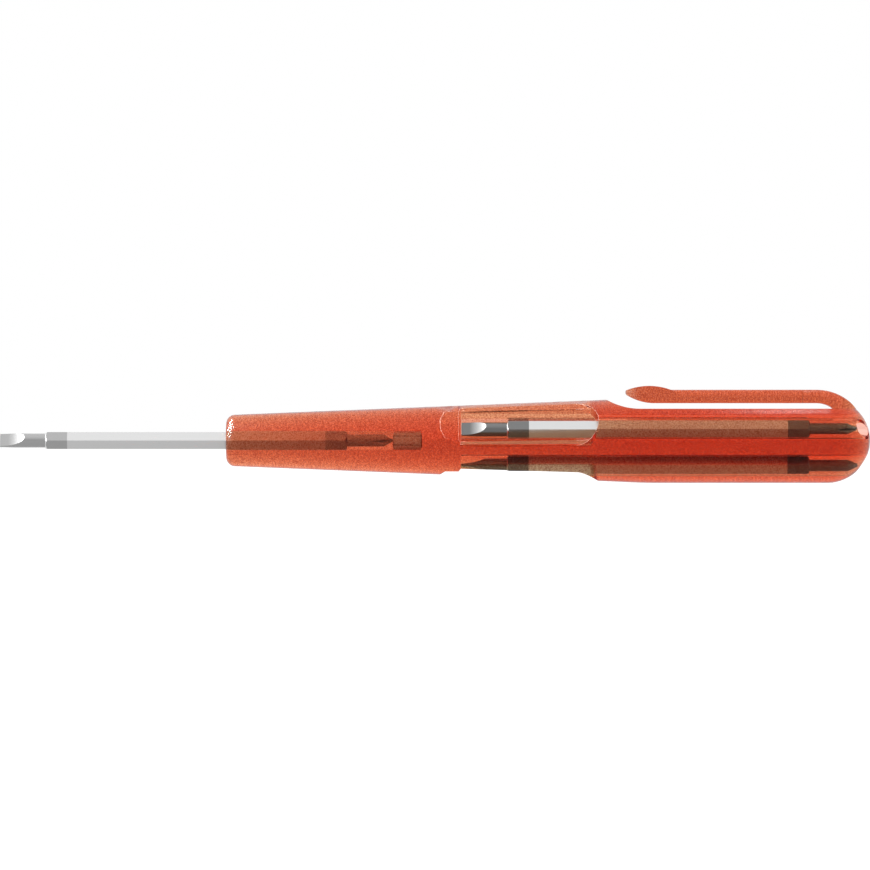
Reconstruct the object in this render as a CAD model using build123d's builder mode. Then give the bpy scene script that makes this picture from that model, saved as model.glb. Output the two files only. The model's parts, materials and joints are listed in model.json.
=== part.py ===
from build123d import *
import os
from math import cos, pi, radians, sin, sqrt, tan

# Pocket screwdriver: a moulded handle with a clip, and four reversible hexagonal blades.
# One blade works in the nose and three ride in channels round the axis. Millimetres.
# X runs along the tool from the working tip to the tail, and Z points up to the clip.

# ---- driving dimensions: blades -------------------------------------------------------------
blade_length = 70.0
hex_sides = 6
hex_flats = 3.0
hex_chamfer = 0.35
blade_end_length = 8.1             # round neck and tip, at each end of the hexagon
slotted_width = 2.5
slotted_thickness = 0.4
grind_length = 4.4                 # hollow-ground faces of the slotted tip
cross_neck_radius = 1.05
cross_point_radius = 0.28
cross_cone_angle = 26.5            # half angle of the cross tip
flute_count = 4
first_flute_turn = 45.0
flute_angle = 92.0
flute_slope = 14.0

# ---- driving dimensions: handle -------------------------------------------------------------
overall_length = 155.0
nose_x = 40.3                      # front face of the handle
nose_radius = 4.54
nose_round = 1.6
grip_radius = 7.55
taper_end_x = 115.1
taper_blend = 100.0
socket_flats = 3.1                 # hexagonal blade socket in the nose
magnet_radius = 1.5
magnet_length = 5.2
magnet_chamfer = 0.2
channel_offset = 3.95              # from the tool's axis to a stored blade's axis
channel_radius = 1.78
store_x = 82.2                     # slotted tips of the stored blades
store_gap = 0.1                    # from those tips to the front wall of the channel

# ---- driving dimensions: thumb windows, one over each channel -------------------------------
window_start_x = 78.4
window_end_x = 106.55
window_end_radius = 4.3
ledge_height = 5.52                # shallow ledge ahead of the finger slot
ledge_drop_run = 0.4               # it slopes down to the rails over this length
rail_height = 5.03                 # rails beside the finger slot, at its front end
rail_slope = 0.03
finger_slot_width = 6.3

# ---- driving dimensions: clip and the flat under it -----------------------------------------
relief_height = 5.65
relief_start_x = 114.0
relief_ramp_radius = 11.8
clip_width = 8.5
clip_top = 9.03
clip_bottom = 6.645
clip_edge_round = 1.0
clip_tip_x = 111.4
clip_tip_height = 8.55
clip_tip_thickness = 0.8
clip_tip_bulge = 0.15
clip_bulge_top = 9.71
clip_bulge_end_x = 119.4
clip_belly_x = 116.5
clip_outer_radius = 9.0
clip_inner_radius = 4.9
clip_root_height = 5.0             # the root runs down into the handle to here
clip_plan_overrun = 0.1            # the root's rounded plan ends this far past the flat
clip_pivot_x = 143.0

# ---- worked-out places ----------------------------------------------------------------------
hex_end = blade_length - blade_end_length
socket_end_x = blade_length
tail_centre_x = overall_length - grip_radius
channel_start_x = store_x - store_gap
reach = 30.0                       # cutting solids run this far past the handle
overrun = 1.0                      # and the window's cutter this far ahead of its start
channel_turns = {"front": 60, "back": -60, "bottom": 180}   # about X, from straight up


def blade_seat(tip_x, offset, turn):
    """Plane at a blade's slotted tip: its z runs along the blade, its y points outward."""
    outward = Vector(0, -sin(radians(turn)), cos(radians(turn)))
    return Plane(
        origin=Vector(tip_x, 0, 0) + outward * offset,
        x_dir=outward.cross(Vector(1, 0, 0)),
        z_dir=(1, 0, 0),
    )


def make_blade(seat):
    """A reversible blade: slotted tip at the seat's origin, cross tip at the far end."""
    side = Plane(origin=seat.origin, x_dir=seat.z_dir, z_dir=-seat.x_dir)
    corner = hex_flats / 2 / cos(pi / hex_sides)
    grind_depth = (slotted_width - slotted_thickness) / 2
    wheel_radius = (grind_length**2 + grind_depth**2) / (2 * grind_depth)
    cone_length = (cross_neck_radius - cross_point_radius) / tan(radians(cross_cone_angle))
    with BuildPart() as blade:
        with BuildSketch(seat.offset(blade_end_length)):
            RegularPolygon(hex_flats / 2, hex_sides, major_radius=False)
        extrude(amount=hex_end - blade_end_length)
        with BuildSketch(side):
            with BuildLine():
                Polyline(
                    (blade_end_length, 0),
                    (blade_end_length, corner - hex_chamfer),
                    (blade_end_length + hex_chamfer, corner),
                    (hex_end - hex_chamfer, corner),
                    (hex_end, corner - hex_chamfer),
                    (hex_end, 0),
                    close=True,
                )
            make_face()
        revolve(axis=Axis(seat.origin, seat.z_dir), mode=Mode.INTERSECT)

        with BuildSketch(seat):
            Circle(slotted_width / 2)
        extrude(amount=blade_end_length)
        wheel_height = slotted_thickness / 2 + wheel_radius
        with BuildSketch(side):
            with Locations((0, wheel_height), (0, -wheel_height)):
                Circle(wheel_radius)
        extrude(amount=slotted_width, both=True, mode=Mode.SUBTRACT)

        with BuildSketch(side):
            with BuildLine():
                Polyline(
                    (hex_end, 0),
                    (hex_end, cross_neck_radius),
                    (blade_length - cone_length, cross_neck_radius),
                    (blade_length, cross_point_radius),
                    (blade_length, 0),
                    close=True,
                )
            make_face()
        revolve(axis=Axis(seat.origin, seat.z_dir))
        point = seat.origin + seat.z_dir * blade_length
        half_opening = blade_end_length * tan(radians(flute_angle / 2))
        for flute in range(flute_count):
            turn = radians(first_flute_turn) + 2 * pi * flute / flute_count
            outward = seat.x_dir * cos(turn) + seat.y_dir * sin(turn)
            groove = Plane(
                origin=point + outward * cross_point_radius / 2,
                x_dir=outward.cross(seat.z_dir),
                z_dir=seat.z_dir - outward * tan(radians(flute_slope)),
            )
            with BuildSketch(groove):
                with BuildLine():
                    Polyline(
                        (0, 0),
                        (half_opening, blade_end_length),
                        (-half_opening, blade_end_length),
                        close=True,
                    )
                make_face()
            extrude(amount=blade_end_length, both=True, mode=Mode.SUBTRACT)
    return blade.part


# ---- cutter for one thumb window, pointing straight up --------------------------------------
with BuildPart() as window:
    with BuildSketch(Plane.XZ):
        with BuildLine():
            Polyline(
                (window_start_x - overrun, ledge_height),
                (channel_start_x - ledge_drop_run, ledge_height),
                (channel_start_x, rail_height),
                (window_end_x, rail_height + rail_slope * (window_end_x - channel_start_x)),
                (window_end_x, reach),
                (window_start_x - overrun, reach),
                close=True,
            )
        make_face()
    extrude(amount=window_end_radius, both=True)
    with BuildSketch(Plane.XY.offset(channel_offset)):
        with Locations((channel_start_x, 0)):
            Rectangle(
                window_end_x - channel_start_x,
                finger_slot_width,
                align=(Align.MIN, Align.CENTER),
            )
    extrude(amount=reach)
    with BuildSketch(Plane.XY):
        with Locations(((window_start_x + window_end_x) / 2, 0)):
            SlotOverall(window_end_x - window_start_x, 2 * window_end_radius)
    extrude(amount=reach, mode=Mode.INTERSECT)

# ---- clip, whole, before its arm is parted from its root ------------------------------------
# The root's outer arc meets the handle where the flat runs out into the domed tail.
outer_centre_z = clip_top - clip_outer_radius
inner_centre_z = clip_bottom - clip_inner_radius
flat_end_x = tail_centre_x + sqrt(grip_radius**2 - relief_height**2)
clip_bend_x = flat_end_x - sqrt(clip_outer_radius**2 - (relief_height - outer_centre_z) ** 2)
clip_plan_end_x = flat_end_x + clip_plan_overrun
outer_run = sqrt(clip_outer_radius**2 - (clip_root_height - outer_centre_z) ** 2)
inner_run = sqrt(clip_inner_radius**2 - (clip_root_height - inner_centre_z) ** 2)
outer_root = (clip_bend_x + outer_run, clip_root_height)
inner_root = (clip_bend_x + inner_run, clip_root_height)
tip_edge_x = clip_tip_x + clip_tip_bulge
tip_upper = (tip_edge_x, clip_tip_height + clip_tip_thickness / 2)
tip_lower = (tip_edge_x, clip_tip_height - clip_tip_thickness / 2)
bulge_crown = ((clip_bulge_end_x + tip_edge_x) / 2, clip_bulge_top)
with BuildPart() as whole_clip:
    with BuildSketch(Plane.XZ):
        with BuildLine():
            Line((clip_bend_x, clip_top), (clip_bulge_end_x, clip_top))
            ThreePointArc((clip_bulge_end_x, clip_top), bulge_crown, tip_upper)
            ThreePointArc(tip_upper, (clip_tip_x, clip_tip_height), tip_lower)
            TangentArc((clip_belly_x, clip_bottom), tip_lower, tangent=(-1, 0))
            Line((clip_belly_x, clip_bottom), (clip_bend_x, clip_bottom))
            RadiusArc((clip_bend_x, clip_bottom), inner_root, clip_inner_radius)
            Line(inner_root, outer_root)
            RadiusArc(outer_root, (clip_bend_x, clip_top), -clip_outer_radius)
        make_face()
    extrude(amount=clip_width / 2, both=True)
    along_clip = whole_clip.edges().filter_by(Axis.X)
    fillet(along_clip.filter_by(lambda edge: edge.length > clip_width), clip_edge_round)
    with BuildSketch(Plane.XY):
        with Locations(((clip_tip_x + clip_plan_end_x) / 2, 0)):
            SlotOverall(clip_plan_end_x - clip_tip_x, clip_width)
    extrude(amount=reach, mode=Mode.INTERSECT)

# ---- clip parted at its pivot: the root is moulded on the handle, the arm flexes ------------
clip_pivot = Plane.YZ.offset(clip_pivot_x)
with BuildPart() as clip_root:
    add(whole_clip.part)
    split(bisect_by=clip_pivot, keep=Keep.TOP)
with BuildPart() as clip_arm:
    add(whole_clip.part)
    split(bisect_by=clip_pivot, keep=Keep.BOTTOM)
clip_arm.part.label = "clip_arm"

# ---- handle, with the clip's root -----------------------------------------------------------
ramp_centre_z = relief_height + relief_ramp_radius
with BuildPart() as handle_body:
    with BuildSketch(Plane.XZ) as half_section:
        with BuildLine():
            Polyline(
                (tail_centre_x, grip_radius),
                (taper_end_x, grip_radius),
                (nose_x, nose_radius),
                (nose_x, 0),
                (overall_length, 0),
            )
            CenterArc((tail_centre_x, 0), grip_radius, 0, 90)
        make_face()
        nose_corner = half_section.vertices().sort_by_distance((nose_x, nose_radius, 0))[0]
        fillet(nose_corner, nose_round)
        taper_corner = half_section.vertices().sort_by_distance((taper_end_x, grip_radius, 0))[0]
        fillet(taper_corner, taper_blend)
    revolve(axis=Axis.X)
    with BuildSketch(Plane.XZ):
        with Locations((relief_start_x, ramp_centre_z)):
            Circle(relief_ramp_radius)
            Rectangle(overall_length, 2 * relief_ramp_radius, align=(Align.MIN, Align.CENTER))
    extrude(amount=reach, both=True, mode=Mode.SUBTRACT)
    for turn in channel_turns.values():
        add(window.part, rotation=(turn, 0, 0), mode=Mode.SUBTRACT)
        with BuildSketch(blade_seat(channel_start_x, channel_offset, turn)):
            Circle(channel_radius)
        extrude(amount=overall_length, mode=Mode.SUBTRACT)
    with BuildSketch(Plane.YZ.offset(nose_x)):
        RegularPolygon(socket_flats / 2, hex_sides, major_radius=False)
    extrude(amount=socket_end_x - nose_x, mode=Mode.SUBTRACT)
    with BuildSketch(Plane.YZ.offset(socket_end_x)):
        Circle(magnet_radius)
    extrude(amount=magnet_length, mode=Mode.SUBTRACT)
    add(clip_root.part)
handle_body.part.label = "handle_body"

# ---- magnet at the bottom of the nose socket ------------------------------------------------
with BuildPart() as retaining_magnet:
    with BuildSketch(Plane.YZ.offset(socket_end_x)):
        Circle(magnet_radius)
    extrude(amount=magnet_length)
    chamfer(retaining_magnet.edges().filter_by(GeomType.CIRCLE), magnet_chamfer)
retaining_magnet.part.label = "retaining_magnet"

os.makedirs("parts", exist_ok=True)
export_step(handle_body.part, "parts/handle_body.step")
export_step(clip_arm.part, "parts/clip_arm.step")
export_step(retaining_magnet.part, "parts/retaining_magnet.step")

# ---- blades: one in use, and one in each channel --------------------------------------------
blade_seats = {"blade_in_use": blade_seat(0, 0, channel_turns["front"])}
for place, turn in channel_turns.items():
    blade_seats["stored_blade_" + place] = blade_seat(store_x, channel_offset, turn)
for name, seat in blade_seats.items():
    blade = make_blade(seat)
    blade.label = name
    export_step(blade, "parts/" + name + ".step")
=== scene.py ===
import json
from math import pi, radians

import bmesh
import bpy
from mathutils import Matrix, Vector


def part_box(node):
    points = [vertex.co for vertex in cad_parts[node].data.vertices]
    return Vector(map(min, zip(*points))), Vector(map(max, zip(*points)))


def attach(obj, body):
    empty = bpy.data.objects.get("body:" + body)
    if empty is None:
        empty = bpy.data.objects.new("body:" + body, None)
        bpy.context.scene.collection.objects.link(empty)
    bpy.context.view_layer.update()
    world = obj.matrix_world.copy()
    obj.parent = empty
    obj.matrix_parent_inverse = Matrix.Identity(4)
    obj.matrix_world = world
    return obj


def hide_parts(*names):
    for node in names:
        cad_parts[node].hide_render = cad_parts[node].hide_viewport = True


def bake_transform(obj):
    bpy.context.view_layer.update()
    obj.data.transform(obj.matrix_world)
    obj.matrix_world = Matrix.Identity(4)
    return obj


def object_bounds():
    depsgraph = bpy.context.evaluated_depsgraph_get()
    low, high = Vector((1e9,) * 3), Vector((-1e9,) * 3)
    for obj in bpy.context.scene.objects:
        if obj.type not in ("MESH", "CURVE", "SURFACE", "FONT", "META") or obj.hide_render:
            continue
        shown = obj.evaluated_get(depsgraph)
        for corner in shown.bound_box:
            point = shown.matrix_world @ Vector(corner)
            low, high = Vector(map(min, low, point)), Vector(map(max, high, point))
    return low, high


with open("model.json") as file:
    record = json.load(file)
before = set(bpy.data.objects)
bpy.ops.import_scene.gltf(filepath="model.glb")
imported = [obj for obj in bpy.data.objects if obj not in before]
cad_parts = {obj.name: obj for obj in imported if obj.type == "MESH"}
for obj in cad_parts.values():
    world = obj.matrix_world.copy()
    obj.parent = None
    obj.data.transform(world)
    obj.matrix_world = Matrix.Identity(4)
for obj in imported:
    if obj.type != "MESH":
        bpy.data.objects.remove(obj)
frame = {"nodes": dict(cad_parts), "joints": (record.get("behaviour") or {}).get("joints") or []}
cad_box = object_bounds()
nodes = frame["nodes"]
joints = {joint["name"]: joint for joint in frame["joints"]}

# Pocket screwdriver in translucent red plastic, lying along X with its clip on top. Metres.
MM = 0.001

# ---- places taken from the frame ------------------------------------------------------------
box_low, box_high = (Vector(corner) for corner in cad_box)
CENTRE = (box_low + box_high) / 2
OVERALL = box_high.x - box_low.x
FLOOR_Z = box_low.z
PIVOT = Vector(joints["clip_flex"]["pos_m"])
NOSE_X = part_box("handle_body")[0].x
STORE_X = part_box("stored_blade_front")[0].x      # slotted tips of the stored blades
channel_centres = []                             # of the stored blades' channels, across the tool
for name in nodes:
    if name.startswith("stored_blade"):
        low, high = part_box(name)
        channel_centres.append(((low + high) / 2).yz)

# ---- the moulding's shape -------------------------------------------------------------------
BORE_REACH = 1.83 * MM                   # bores' walls are nearer to their axes than this
STORE_CLEAR = 0.2 * MM                   # the channels start at most this far ahead of those tips
CLIP_FLEX_LENGTH = 14.0 * MM             # stretch of the arm that bends
CLIP_SLICE = 1.0 * MM                    # the arm is cut across this often, so that it bends evenly
SEAM_GAP = 0.01 * MM                     # between the clip's arm and its root
WELD = 0.0005 * MM                       # points nearer to each other than this are one
SHARP_ANGLE = radians(30)

# ---- how the plastic looks ------------------------------------------------------------------
OUTER_LIGHT = (0.88, 0.83, 0.52)         # tint at each moulded outer surface, in its grain
OUTER_DARK = (0.42, 0.20, 0.12)
EDGE_ON_PAINTED_SHADE = (0.30, 0.10, 0.08)          # and painted shade where it turns edge-on, for the darker light refracted there
EDGE_FACING = (0.6, 0.85)                # that painted shade starts at the first and is full at the second
INNER_TINT = (1.0, 0.98, 0.95)           # at the walls of the socket and the channels
RIM_PAINTED_HIGHLIGHT = (1.0, 0.68, 0.56)             # painted highlight at the rounded rims of the windows' ends, lighter and less see-through, for the light they catch
RIM_RADIUS = 0.08 * MM
RIM_TURN = (0.99, 0.9)                   # cosines of how far the rounding turns the surface
RIM_TRANSMISSION = 0.3
RIM_PLACES = (STORE_X - 2.0 * MM, STORE_X + 23.0 * MM)
RIM_REACH = 2.6 * MM                     # the rims are this near to one of those two places
PLASTIC_IOR = 1.13
PLASTIC_ABSORBS = (0.93, 0.29, 0.12)     # colour that the plastic tends to with depth
PLASTIC_DENSITY = 275.0                  # per metre
PLASTIC_ROUGHNESS = (0.08, 0.2)
COAT = 0.07                              # satin gloss over the outer surface
COAT_ROUGHNESS = 0.3
GRAIN_SIZE = 0.25 * MM                   # spark-eroded mould texture
GRAIN_HEIGHT = 0.02 * MM
GRAIN_TINT_STEPS = (0.35, 0.65)          # noise between these goes from the dark tint to the light
GRAIN_GLOSS_STEPS = (0.3, 0.7)           # and between these from the least roughness to the most

# ---- how the metal looks --------------------------------------------------------------------
BLADE_STEEL_AND_PAINTED_LIGHT = {                                # bare steel and plated steel of each blade, with painted light
    # The blades are alike: their numbers differ only as painted light and shade, the bottom blade's
    # plating lighter and the stored blades' bare ends darker than the blade in use's.
    "blade_in_use": (0.26, 0.42),
    "stored_blade_front": (0.12, 0.40),
    "stored_blade_back": (0.12, 0.40),
    "stored_blade_bottom": (0.16, 0.55),
}
PLATED_HALF = 23.0 * MM                  # the plating reaches this far each way from the middle
GROUND_STEEL_AND_HIGHLIGHT = 0.55                      # faces turned toward -X: steel bright from grinding across the blade at its slotted end, and painted highlight there and on the chamfers
GROUND_AND_HIGHLIGHT_SLOPE = (-0.15, -0.5)             # lengthwise part of those faces' normals
STEEL_ROUGHNESS = (0.2, 0.42)
DRAWN_SCALE = (60, 6000, 6000)           # per metre, fine across the blade and drawn out along it
DRAWN_HEIGHT = 0.004 * MM
MAGNET_DARK = (0.10, 0.10, 0.10)
MAGNET_LIGHT = (0.48, 0.46, 0.45)
MAGNET_STEPS = (0.4, 1.3 / 1.4)          # mottling and band together, from dark to light
MAGNET_ROUGHNESS = 0.5
MAGNET_BAND_Z = 0.75 * MM                # the dark bands' height from the axis
MAGNET_BAND_HALF = 0.35 * MM
MOTTLE_SCALE = 2600.0                    # per metre
MOTTLE_STRENGTH = 0.9

# ---- floor, light and camera ----------------------------------------------------------------
FLOOR_REACH = 4.0
FLOOR_COLOUR = (0.2, 0.2, 0.2)
FLOOR_GLOW = 0.78                        # emission, which keeps the tool's shadow faint
TENT_HEIGHTS = (0.05, 0.9)               # sines of the elevations between which the tent brightens
TENT_BRIGHTNESS = (1.0, 1.9)
TAIL_GLOSS_INSET = 9.0 * MM              # the tail's lamp is over a point this far from its end
LENS = 400                               # focal length in millimetres
CAMERA_DROP = 0.1 * MM                   # from the middle of the tool's height
WHITE = (1, 1, 1)


# ---- small helpers --------------------------------------------------------------------------
class Shading:
    """A new material, with short ways to add nodes to it and to join them."""

    def __init__(self, name):
        self.material = bpy.data.materials.new(name)
        self.material.use_nodes = True
        self.tree = self.material.node_tree
        self.shader = self.tree.nodes["Principled BSDF"]

    def feed(self, socket, value):
        """Gives a socket a number, a colour or what another node puts out."""
        if isinstance(value, bpy.types.NodeSocket):
            self.tree.links.new(value, socket)
        elif socket.type == "RGBA":
            socket.default_value = (*value, 1)
        else:
            socket.default_value = value

    def add(self, kind, **values):
        """Adds a node, and sets its inputs and its own settings by their names."""
        node = self.tree.nodes.new(kind)
        for name, value in values.items():
            if name in node.inputs:
                self.feed(node.inputs[name], value)
            else:
                setattr(node, name, value)
        return node

    def shade(self, **values):
        """Sets the shader's inputs, each named with _ in place of a space."""
        for name, value in values.items():
            self.feed(self.shader.inputs[name.replace("_", " ")], value)

    def math(self, operation, *values):
        node = self.add("ShaderNodeMath", operation=operation)
        for socket, value in zip(node.inputs, values):
            self.feed(socket, value)
        return node.outputs["Value"]

    def remap(self, value, given, wanted=(0.0, 1.0)):
        """Turns the given range of numbers into the wanted one, and stops at its ends."""
        node = self.add("ShaderNodeMapRange", Value=value)
        for socket, number in zip(node.inputs[1:5], (*given, *wanted)):
            socket.default_value = number
        return node.outputs["Result"]

    def mix(self, factor, first, second):
        node = self.add("ShaderNodeMix", data_type="RGBA", Factor=factor, A=first, B=second)
        return node.outputs["Result"]


def dress(obj, material):
    """Gives the whole object one material."""
    obj.data.materials.clear()
    obj.data.materials.append(material)
    for polygon in obj.data.polygons:
        polygon.material_index = 0


def smooth(obj):
    """Smooth shading with sharp edges past SHARP_ANGLE."""
    for polygon in obj.data.polygons:
        polygon.use_smooth = True
    obj.data.set_sharp_from_angle(angle=SHARP_ANGLE)


# ---- materials ------------------------------------------------------------------------------
def painted_rim_highlights(look, place):
    """Mask of the painted highlight, a lighter tint for the light caught: 1 on the rounded rim at
    each end of each window, 0 elsewhere.
    """
    rounded = look.add("ShaderNodeBevel", samples=6, Radius=RIM_RADIUS)
    flat = look.add("ShaderNodeNewGeometry")
    turned = look.add("ShaderNodeVectorMath", operation="DOT_PRODUCT")
    look.feed(turned.inputs[0], rounded.outputs["Normal"])
    look.feed(turned.inputs[1], flat.outputs["Normal"])
    position = look.add("ShaderNodeSeparateXYZ", Vector=place.outputs["Object"])
    near = [look.math("COMPARE", position.outputs["X"], x, RIM_REACH) for x in RIM_PLACES]
    at_an_end = look.math("MAXIMUM", *near)
    return look.math("MULTIPLY", look.remap(turned.outputs["Value"], RIM_TURN), at_an_end)


def plastic_material():
    """Satin translucent red moulding: it reddens with depth and has a fine moulded grain."""
    look = Shading("translucent_red_plastic")
    place = look.add("ShaderNodeTexCoord")
    noise = look.add("ShaderNodeTexNoise", Scale=1 / GRAIN_SIZE, Detail=2.0, Roughness=0.6)
    look.feed(noise.inputs["Vector"], place.outputs["Object"])
    grain = noise.outputs["Fac"]

    # Painted shade: the tint darkens where the surface turns edge-on, and the coat is left off
    # there.
    facing = look.add("ShaderNodeLayerWeight", Blend=0.5).outputs["Facing"]
    edge = look.remap(facing, EDGE_FACING)
    # Painted highlight at the windows' rims: a lighter tint, and less see-through.
    rim_highlights = painted_rim_highlights(look, place)
    inner = look.add("ShaderNodeAttribute", attribute_name="inner_wall").outputs["Fac"]

    moulded = look.mix(look.remap(grain, GRAIN_TINT_STEPS), OUTER_DARK, OUTER_LIGHT)
    # The grain's tint, with painted shade at edge-on places and the painted highlight at the
    # windows' rims.
    outer = look.mix(rim_highlights, look.mix(edge, moulded, EDGE_ON_PAINTED_SHADE), RIM_PAINTED_HIGHLIGHT)
    uncoated = look.math("MAXIMUM", inner, edge)
    bump = look.add("ShaderNodeBump", Strength=0.5, Distance=GRAIN_HEIGHT, Height=grain)
    look.shade(
        Base_Color=look.mix(inner, outer, INNER_TINT),
        Transmission_Weight=look.remap(rim_highlights, (0.0, 1.0), (1.0, RIM_TRANSMISSION)),
        IOR=PLASTIC_IOR,
        Roughness=look.remap(grain, GRAIN_GLOSS_STEPS, PLASTIC_ROUGHNESS),
        Coat_Weight=look.remap(uncoated, (0.0, 1.0), (COAT, 0.0)),
        Coat_Roughness=COAT_ROUGHNESS,
        Normal=bump.outputs["Normal"],
    )
    depth = look.add("ShaderNodeVolumeAbsorption", Color=PLASTIC_ABSORBS, Density=PLASTIC_DENSITY)
    look.feed(look.tree.nodes["Material Output"].inputs["Volume"], depth.outputs["Volume"])
    return look.material


def blade_material(name, middle_x, bare, plate):
    """Drawn hexagonal steel, plated along its middle and bare near both ends."""
    look = Shading(name)
    place = look.add("ShaderNodeTexCoord")
    position = look.add("ShaderNodeSeparateXYZ", Vector=place.outputs["Object"])
    normal = look.add("ShaderNodeSeparateXYZ", Vector=place.outputs["Normal"])
    stretch = look.add("ShaderNodeMapping", Vector=place.outputs["Object"], Scale=DRAWN_SCALE)
    noise = look.add("ShaderNodeTexNoise", Scale=1.0, Detail=3.0, Roughness=0.55)
    look.feed(noise.inputs["Vector"], stretch.outputs["Vector"])
    drawn = noise.outputs["Fac"]

    from_middle = look.math("ABSOLUTE", look.math("SUBTRACT", position.outputs["X"], middle_x))
    plated = look.math("LESS_THAN", from_middle, PLATED_HALF)
    colour = look.mix(plated, (bare,) * 3, (plate,) * 3)
    # Faces turned toward -X, the big softbox's side, get a lighter base: steel left bright by
    # grinding, and painted highlight.
    ground_and_highlight = look.remap(normal.outputs["X"], GROUND_AND_HIGHLIGHT_SLOPE)
    bump = look.add("ShaderNodeBump", Strength=0.25, Distance=DRAWN_HEIGHT, Height=drawn)
    look.shade(
        Base_Color=look.mix(ground_and_highlight, colour, (GROUND_STEEL_AND_HIGHLIGHT,) * 3),
        Metallic=1.0,
        Roughness=look.remap(drawn, (0.0, 1.0), STEEL_ROUGHNESS),
        Normal=bump.outputs["Normal"],
    )
    return look.material


def magnet_material():
    """Dull sintered rod, darker along two bands."""
    look = Shading("sintered_magnet")
    place = look.add("ShaderNodeTexCoord")
    mottle = look.add("ShaderNodeTexNoise", Scale=MOTTLE_SCALE, Detail=3.0)
    look.feed(mottle.inputs["Vector"], place.outputs["Object"])
    position = look.add("ShaderNodeSeparateXYZ", Vector=place.outputs["Object"])
    height = look.math("ABSOLUTE", position.outputs["Z"])
    from_band = look.math("ABSOLUTE", look.math("SUBTRACT", height, MAGNET_BAND_Z))
    band = look.remap(from_band, (0.0, MAGNET_BAND_HALF))
    lightness = look.math("MULTIPLY_ADD", mottle.outputs["Fac"], MOTTLE_STRENGTH, band)
    look.shade(
        Base_Color=look.mix(look.remap(lightness, MAGNET_STEPS), MAGNET_DARK, MAGNET_LIGHT),
        Metallic=1.0,
        Roughness=MAGNET_ROUGHNESS,
    )
    return look.material


# ---- the moulding, in two closed pieces that all but touch at the clip's pivot --------------
def is_inside(corners):
    """True of a face at the clip's pivot, or on the wall of the socket or of a channel."""
    if all(abs(co.x - PIVOT.x) < WELD for co in corners):
        return True
    across = [co.yz for co in corners]
    if any(co.x < STORE_X - STORE_CLEAR for co in corners):
        return all(point.length < BORE_REACH for point in across)
    return any(
        all((point - centre).length < BORE_REACH for point in across)
        for centre in channel_centres
    )


def moulding_copy(node, name):
    """A welded copy of a CAD node's mesh, which knows the faces that are inside the moulding."""
    mesh = nodes[node].data.copy()
    mesh.name = name
    shape = bmesh.new()
    shape.from_mesh(mesh)
    bmesh.ops.remove_doubles(shape, verts=shape.verts, dist=WELD)
    shape.to_mesh(mesh)
    shape.free()
    mesh.attributes.remove(mesh.attributes["custom_normal"])
    inner = mesh.attributes.new("inner_wall", "FLOAT", "FACE")
    for polygon in mesh.polygons:
        corners = [mesh.vertices[index].co for index in polygon.vertices]
        inner.data[polygon.index].value = float(is_inside(corners))
    piece = bpy.data.objects.new(name, mesh)
    bpy.context.scene.collection.objects.link(piece)
    return piece


def make_handle(plastic):
    """The handle with its nose, grip, windows and the clip's root. It is returned."""
    handle = moulding_copy("handle_body", "handle_moulding")
    smooth(handle)
    dress(handle, plastic)
    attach(handle, "handle")
    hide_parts("handle_body")
    return handle


def make_clip(plastic):
    """The clip's arm, cut into slices across the stretch that bends."""
    clip = moulding_copy("clip_arm", "clip_moulding")
    for vertex in clip.data.vertices:
        if abs(vertex.co.x - PIVOT.x) < WELD:
            vertex.co.x -= SEAM_GAP
    shape = bmesh.new()
    shape.from_mesh(clip.data)
    x = PIVOT.x - CLIP_SLICE
    while x > PIVOT.x - CLIP_FLEX_LENGTH - CLIP_SLICE:
        everything = shape.verts[:] + shape.edges[:] + shape.faces[:]
        bmesh.ops.bisect_plane(shape, geom=everything, plane_co=(x, 0, 0), plane_no=(1, 0, 0))
        x -= CLIP_SLICE
    shape.to_mesh(clip.data)
    shape.free()
    smooth(clip)
    dress(clip, plastic)
    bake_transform(clip)
    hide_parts("clip_arm")


plastic = plastic_material()
handle = make_handle(plastic)
make_clip(plastic)
for name, (bare, plate) in BLADE_STEEL_AND_PAINTED_LIGHT.items():
    low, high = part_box(name)
    middle_x = (low.x + high.x) / 2
    dress(nodes[name], blade_material(name + "_steel", middle_x, bare, plate))
    smooth(nodes[name])
dress(nodes["retaining_magnet"], magnet_material())


# ---- floor, light and camera ----------------------------------------------------------------
def make_floor():
    """A wide pale floor, which glows a little."""
    mesh = bpy.data.meshes.new("floor")
    corners = [(-1, -1), (1, -1), (1, 1), (-1, 1)]
    points = [(x * FLOOR_REACH, y * FLOOR_REACH, FLOOR_Z) for x, y in corners]
    mesh.from_pydata(points, [], [(0, 1, 2, 3)])
    floor = bpy.data.objects.new("floor", mesh)
    bpy.context.scene.collection.objects.link(floor)
    look = Shading("pale_floor")
    look.shade(
        Base_Color=FLOOR_COLOUR,
        Emission_Color=WHITE,
        Emission_Strength=FLOOR_GLOW,
        Roughness=0.9,
        Specular_IOR_Level=0.1,
    )
    mesh.materials.append(look.material)


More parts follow.
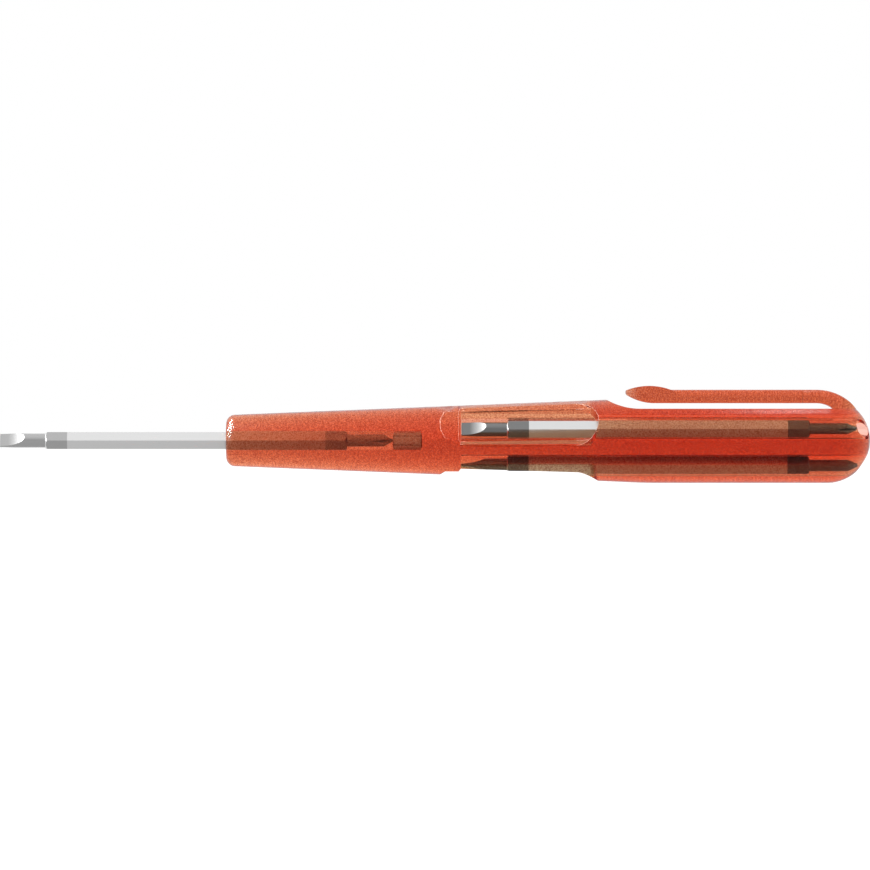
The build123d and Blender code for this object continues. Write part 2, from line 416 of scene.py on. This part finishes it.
def make_world():
    """White all round, and brighter overhead, as in a light tent."""
    world = bpy.data.worlds.new("light_tent")
    world.use_nodes = True
    tree = world.node_tree
    link = tree.links.new
    background = tree.nodes["Background"]
    place = tree.nodes.new("ShaderNodeTexCoord")
    direction = tree.nodes.new("ShaderNodeSeparateXYZ")
    link(place.outputs["Generated"], direction.inputs["Vector"])
    brightness = tree.nodes.new("ShaderNodeMapRange")
    for socket, number in zip(brightness.inputs[1:5], (*TENT_HEIGHTS, *TENT_BRIGHTNESS)):
        socket.default_value = number
    link(direction.outputs["Z"], brightness.inputs["Value"])
    link(brightness.outputs["Result"], background.inputs["Strength"])
    background.inputs["Color"].default_value = (*WHITE, 1)
    bpy.context.scene.world = world


def make_softbox(name, aim, direction, distance, side, radiance, only=None):
    """A square lamp of even brightness, which lights everything or only one collection."""
    light = bpy.data.lights.new(name, "AREA")
    light.shape = "SQUARE"
    light.size = side
    light.energy = radiance * pi * side**2
    lamp = bpy.data.objects.new(name, light)
    toward = Vector(direction).normalized()
    lamp.location = aim + toward * distance
    lamp.rotation_euler = toward.to_track_quat("Z", "Y").to_euler()
    bpy.context.scene.collection.objects.link(lamp)
    lamp.visible_transmission = False
    lamp.visible_camera = False
    if only:
        lamp.light_linking.receiver_collection = only


def make_lamps(handle):
    """A large softbox off the nose, and two small lamps for the highlights on the handle."""
    handle_alone = bpy.data.collections.new("handle_alone")
    handle_alone.objects.link(handle)
    nose = Vector((NOSE_X, 0, 0))
    tail = Vector((box_high.x - TAIL_GLOSS_INSET, 0, 0))
    make_softbox(
        "left", CENTRE, direction=(-0.93, -0.05, 0.38), distance=1.2, side=1.10, radiance=4.0
    )
    make_softbox(
        "nose_gloss", nose, direction=(-0.74, -0.16, 0.66), distance=0.04, side=0.05, radiance=75.0,
        only=handle_alone,
    )
    make_softbox(
        "tail_gloss", tail, direction=(0.03, -0.13, 0.99), distance=0.15, side=0.02, radiance=40.0,
        only=handle_alone,
    )


def make_camera():
    """A long lens, level with the tool, that sees its whole length edge to edge."""
    data = bpy.data.cameras.new("camera")
    data.lens = LENS
    camera = bpy.data.objects.new("camera", data)
    distance = OVERALL * data.lens / data.sensor_width
    camera.location = (CENTRE.x, -distance, CENTRE.z - CAMERA_DROP)
    camera.rotation_euler = (radians(90), 0, 0)
    bpy.context.scene.collection.objects.link(camera)
    bpy.context.scene.camera = camera


make_floor()
make_world()
make_lamps(handle)
make_camera()

scene = bpy.context.scene
scene.view_settings.view_transform = "Standard"
scene.cycles.use_denoising = True
scene.cycles.max_bounces = 32
scene.cycles.transmission_bounces = 32
scene.cycles.glossy_bounces = 12
scene.cycles.transparent_max_bounces = 32
